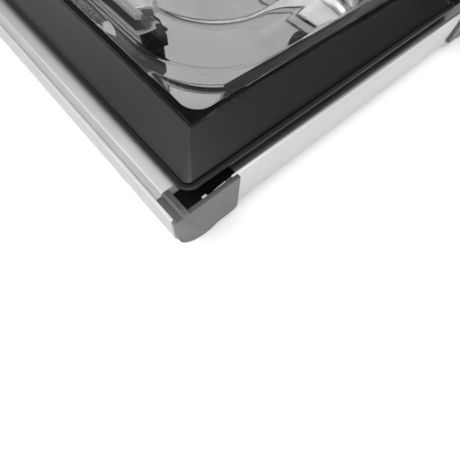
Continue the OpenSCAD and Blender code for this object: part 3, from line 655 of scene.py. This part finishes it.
def build_row_group():
    """Copies of one object on a grid of points: two counts and two step vectors."""
    group, keys = link_group("rows_of_copies", (
        ("Shape", "NodeSocketObject"), ("Count", "NodeSocketInt"), ("Rows", "NodeSocketInt"),
        ("Start", "NodeSocketVector"), ("Step", "NodeSocketVector"), ("Row Step", "NodeSocketVector"),
        ("Turn", "NodeSocketVector"), ("Finish", "NodeSocketMaterial")))
    given = add(group, "NodeGroupInput").outputs
    total = add(group, "ShaderNodeMath", {0: given["Count"], 1: given["Rows"]}, operation="MULTIPLY")
    index = add(group, "GeometryNodeInputIndex").outputs[0]
    column = add(group, "ShaderNodeMath", {0: index, 1: given["Count"]}, operation="MODULO")
    row_share = add(group, "ShaderNodeMath", {0: index, 1: given["Count"]}, operation="DIVIDE")
    row = add(group, "ShaderNodeMath", {0: row_share.outputs[0]}, operation="FLOOR")
    along = add(group, "ShaderNodeVectorMath", {0: given["Step"], "Scale": column.outputs[0]},
                operation="SCALE")
    across = add(group, "ShaderNodeVectorMath", {0: given["Row Step"], "Scale": row.outputs[0]},
                 operation="SCALE")
    both = add(group, "ShaderNodeVectorMath", {0: along.outputs[0], 1: across.outputs[0]})
    place = add(group, "ShaderNodeVectorMath", {0: both.outputs[0], 1: given["Start"]})
    points = add(group, "GeometryNodePoints", {"Count": total.outputs[0], "Position": place.outputs[0]})
    shape = add(group, "GeometryNodeObjectInfo", {"Object": given["Shape"]})
    copies = add(group, "GeometryNodeInstanceOnPoints", {
        "Points": points.outputs[0], "Instance": shape.outputs["Geometry"], "Rotation": given["Turn"]})
    real = add(group, "GeometryNodeRealizeInstances", {"Geometry": copies.outputs[0]})
    painted = add(group, "GeometryNodeSetMaterial", {
        "Geometry": real.outputs[0], "Material": given["Finish"]})
    add(group, "NodeGroupOutput", {0: painted.outputs[0]})
    return group, keys


row_group, row_keys = build_row_group()


def rows(name, shape, slot, body, count, start, step, rows=1, row_step=(0, 0, 0), turn=(0, 0, 0)):
    """Copies of a small mesh, places in millimetres, as one piece on one body."""
    source = bpy.data.objects.new(name + "_shape", shape)
    bpy.context.scene.collection.objects.link(source)
    piece = bpy.data.objects.new(name, bpy.data.meshes.new(name))
    bpy.context.scene.collection.objects.link(piece)
    modifier = piece.modifiers.new("rows", "NODES")
    modifier.node_group = row_group
    values = {"Shape": source, "Count": count, "Rows": rows, "Start": Vector(start) * MM,
              "Step": Vector(step) * MM, "Row Step": Vector(row_step) * MM,
              "Turn": Vector([math.radians(t) for t in turn]), "Finish": finish[slot]}
    for label, value in values.items():
        modifier[row_keys[label]] = value
    settle(piece)
    bpy.data.objects.remove(source)
    bpy.data.meshes.remove(shape)
    if not piece.data.materials:
        piece.data.materials.append(finish[slot])
    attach(piece, body)
    return piece


def turned(name, profile, sides=28, pierced=False):
    """A part turned about Z from (radius, height) pairs in millimetres. A pierced part is a ring."""
    mesh = bpy.data.meshes.new(name)
    shape = bmesh.new()
    loops = []
    for radius, height in profile:
        angles = [math.tau * i / sides for i in range(sides)]
        loops.append([shape.verts.new(Vector((radius * math.cos(a), radius * math.sin(a), height)) * MM)
                      for a in angles])
    following = loops[1:] + loops[:1] if pierced else loops[1:]
    for low_loop, high_loop in zip(loops, following):
        for i in range(sides):
            j = (i + 1) % sides
            shape.faces.new((low_loop[i], low_loop[j], high_loop[j], high_loop[i]))
    if not pierced:
        shape.faces.new(loops[0])
        shape.faces.new(loops[-1])
    bmesh.ops.recalc_face_normals(shape, faces=shape.faces)
    shape.to_mesh(mesh)
    shape.free()
    mesh.shade_smooth()
    mesh.set_sharp_from_angle(angle=math.radians(35))
    return mesh


def block(name, size, bevel_mm=0.1):
    """A bar with bevelled edges, centred, size in millimetres."""
    mesh = bpy.data.meshes.new(name)
    shape = bmesh.new()
    bmesh.ops.create_cube(shape, size=1.0)
    for v in shape.verts:
        v.co = Vector(c * s * MM for c, s in zip(v.co, size))
    bmesh.ops.bevel(shape, geom=shape.edges, offset=bevel_mm * MM, segments=2, affect="EDGES", profile=0.5)
    shape.to_mesh(mesh)
    shape.free()
    mesh.shade_smooth()
    mesh.set_sharp_from_angle(angle=math.radians(40))
    return mesh

# %% [markdown]
# Pan-head screws have a domed head and a hexagon socket. They hold the base
# pan, the rear housing, the hinge arms and the clamp ring. Each group of heads
# replaces the plain heads of the frame and uses the same places.

# %% Screws
def pan_head(radius, height):
    """Domed head with a round socket, pointing along +Z."""
    socket = radius * 0.42
    dome = [(radius, 0), (radius, height * 0.35), (radius * 0.93, height * 0.7),
            (radius * 0.72, height * 0.94), (socket + 0.15, height)]
    return turned("pan_head", dome + [(socket, height * 0.92), (socket * 0.86, height * 0.35)])


def screws(node, count, start, step, radius, height, rows_count, row_step, turn):
    part = rows(node + "_heads", pan_head(radius, height), slot_of[node], body_of[node], count,
                start, step, rows_count, row_step, turn)
    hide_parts(node)


pan_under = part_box("base_pan")[0].z / MM
screws("pan_screws", 3, (-120, -150, pan_under), (120, 0, 0), 3.4, 1.6, 2, (0, 306, 0), (180, 0, 0))
housing_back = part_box("rear_housing")[1].y / MM
screws("housing_screws", 2, (-172, housing_back, 62), (112, 0, 0), 3, 1.6, 2, (232, 0, 0), (-90, 0, 0))
arm_back = 121.5
screws("hinge_screws", 2, (-hinge_x, arm_back, 53.5), (2 * hinge_x, 0, 0),
       2.6, 1.2, 2, (0, 0, 6), (-90, 0, 0))
ring_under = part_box("clamp_ring")[0].z / MM
ring_screw_x = 180.9
screws("ring_screws", 2, (-ring_screw_x, lid_y - 100, ring_under), (2 * ring_screw_x, 0, 0),
       1.2, 0.8, 3, (0, 100, 0), (180, 0, 0))

# %% [markdown]
# The feet are moulded rubber with concentric grip ridges underneath, which a
# turned profile gives at once.

# %% Feet
for name in ("foot_front_right", "foot_front_left", "foot_rear_right", "foot_rear_left"):
    low, high = (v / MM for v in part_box(name))
    profile = [(3.4, 3.4), (4.0, 2.8), (4.2, 0.5), (4.6, 0.0), (5.8, 0.0), (6.2, 0.6), (6.9, 0.6),
               (7.3, 0.0), (8.6, 0.0), (9.0, 0.6), (9.6, 0.6), (10.0, 0.0), (10.6, 0.0), (11.1, 0.5),
               (12.2, high.z - 0.6), (12.4, high.z)]
    foot = bpy.data.objects.new(name + "_turned", turned(name + "_turned", profile, 48))
    foot.data.transform(Matrix.Translation(Vector(((low.x + high.x) / 2, (low.y + high.y) / 2, 0)) * MM))
    bpy.context.scene.collection.objects.link(foot)
    stand_for(foot, name)

# %% [markdown]
# ## Console marks
# Printed marks tell the buttons apart: a ring round each button, and a row of
# rising bars in the display for the vacuum level. They are thin shapes on the
# sloping face, so they are made flat first and then turned with the console.

# %% Marks
tilt = math.radians(10)
slope_front, slope_foot = 131, 72
console = Matrix.Translation(Vector((0, slope_front, slope_foot)) * MM) @ Matrix.Rotation(tilt, 4, "X")
slope_middle = (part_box("rear_housing")[1].y / MM - slope_front) / math.cos(tilt) / 2


def on_console(piece):
    piece.data.transform(console)
    piece.data.update()


ring_profile = [(9.2, 0), (9.2, 0.12), (9.9, 0.12), (9.9, 0)]
ring_shape = turned("button_ring", ring_profile, 48, pierced=True)
rings = rows("button_rings", ring_shape, "white_plastic", "base",
             4, (60, slope_middle, 1.15), (28, 0, 0))
on_console(rings)
shortest, growth, bar_pitch = 2.5, 1.1, 7.2
for level in range(8):
    length = shortest + level * growth
    bar = rows("level_bar_%d" % level, block("bar", (4.2, length, 0.12), 0.02), "led_plastic", "base",
               1, (-56 + level * bar_pitch, slope_middle - 5.2 + length / 2, 1.04), (0, 0, 0))
    on_console(bar)

# %% [markdown]
# ## Inside the back
# The transformer is a stack of thin steel sheets, and the motor can has cooling
# slots. Neither shows from outside, but both are seen when the housing is off.

# %% Laminations and motor vents
low, high = (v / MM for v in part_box("transformer"))
rows("core_laminations", block("sheet", (0.5, 26.4, 41.4), 0.05), "core_steel", "base",
     30, (low.x + 1.5, (low.y + high.y) / 2, (low.z + high.z) / 2), (1.55, 0, 0))
low, high = (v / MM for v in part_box("motor"))
rows("motor_vents", block("vent", (14, 1.6, 0.5), 0.1), "black_plastic", "base",
     3, (low.x + 16, (low.y + high.y) / 2 - 4, high.z + 0.05), (18, 0, 0), 2, (0, 8, 0))

# %% [markdown]
# ## Floor and light
# A pale studio floor, one broad lamp at the side, and a room whose light changes
# with height and is brighter in front and on the left. The black lid stays black
# and the polished parts have something to mirror.

# %% Studio
floor_mesh = bpy.data.meshes.new("floor")
shape = bmesh.new()
bmesh.ops.create_grid(shape, x_segments=2, y_segments=2, size=6.0)
shape.to_mesh(floor_mesh)
shape.free()
floor = bpy.data.objects.new("floor", floor_mesh)
bpy.context.scene.collection.objects.link(floor)
floor_material, tree, shader, place = begin("studio_floor", "#f4f4f4", 0.8)
paint = spread(tree, noise(tree, place, 400), 0, 1)
drive(tree, shader, "Base Color", mix(tree, paint, "#f2f2f2", "#f6f6f6"))
floor_mesh.materials.append(floor_material)


def soft_lamp(name, at, towards, size, power):
    lamp = bpy.data.lights.new(name, "AREA")
    lamp.shape = "RECTANGLE"
    lamp.size, lamp.size_y = size
    lamp.energy = power
    holder = bpy.data.objects.new(name, lamp)
    holder.location = at
    holder.rotation_euler = (Vector(towards) - Vector(at)).to_track_quat("-Z", "Y").to_euler()
    bpy.context.scene.collection.objects.link(holder)
    return holder


soft_lamp("side_lamp", (1.9, -0.5, 1.4), (0, 0, 0), (1.6, 1.6), 14)

world = bpy.data.worlds.new("studio_world")
bpy.context.scene.world = world
world.use_nodes = True
tree = world.node_tree
direction = add(tree, "ShaderNodeTexCoord").outputs["Generated"]
height = add(tree, "ShaderNodeSeparateXYZ", {"Vector": direction}).outputs["Z"]
sky = add(tree, "ShaderNodeValToRGB", {"Fac": height}).color_ramp
stops = [(0.0, 0.02), (0.36, 0.03), (0.46, 0.58), (0.62, 0.66), (0.74, 0.46), (0.9, 0.62), (1.0, 0.5)]
for position, _ in stops[1:-1]:
    sky.elements.new(position)
for element, (position, level) in zip(sky.elements, stops):
    element.position = position
    element.color = (level, level, level, 1)
sky_level = tree.nodes["Color Ramp"].outputs["Color"]


def glow(towards, start, level):
    """A soft patch of sky, brightest in one direction."""
    facing = add(tree, "ShaderNodeVectorMath", {0: direction, 1: Vector(towards).normalized()},
                 operation="DOT_PRODUCT").outputs["Value"]
    return add(tree, "ShaderNodeMapRange", {
        "Value": facing, "From Min": start, "From Max": 1.0, "To Min": 0.0, "To Max": level},
        interpolation_type="SMOOTHSTEP").outputs["Result"]


front_glow = glow((0.35, -0.8, 0.5), -0.1, 1.55)
left_glow = glow((-0.83, -0.26, 0.5), 0.93, 1.7)
total = add(tree, "ShaderNodeMath", {0: front_glow, 1: left_glow}, operation="ADD").outputs[0]
total = add(tree, "ShaderNodeMath", {0: total, 1: sky_level}, operation="ADD").outputs[0]
tree.links.new(total, tree.nodes["Background"].inputs["Color"])

scene = bpy.context.scene
scene.view_settings.view_transform = "Standard"
scene.cycles.use_denoising = True
scene.cycles.max_bounces = 16
scene.cycles.transmission_bounces = 12
scene.cycles.transparent_max_bounces = 16
